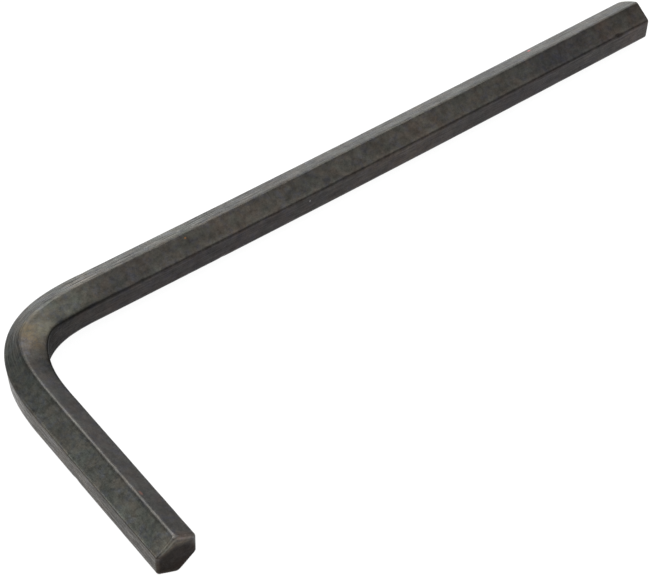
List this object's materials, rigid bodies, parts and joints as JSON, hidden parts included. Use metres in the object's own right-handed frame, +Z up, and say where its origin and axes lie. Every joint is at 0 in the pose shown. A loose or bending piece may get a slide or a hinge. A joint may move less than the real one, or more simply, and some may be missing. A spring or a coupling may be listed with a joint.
{
  "type": "hex key",
  "caption": "L-shaped hex key bent from one length of dark steel hexagon bar, with a long arm, a short arm and plain cropped ends that turn hexagon socket screws.",
  "frame": {"origin": "centre of the L's bounding box, on the surface that the key lies on", "axes": "+X along the long arm towards its end, -Y along the short arm towards its end, +Z up from the surface"},
  "size_m": [0.0794, 0.03, 0.0045],
  "materials": {
    "black_oxide_steel": "dark oxide over drawn bar, satin and mottled, with brighter worn corners"
  },
  "bodies": {
    "root": {"hex_key": "black_oxide_steel"}
  },
  "joints": []
}
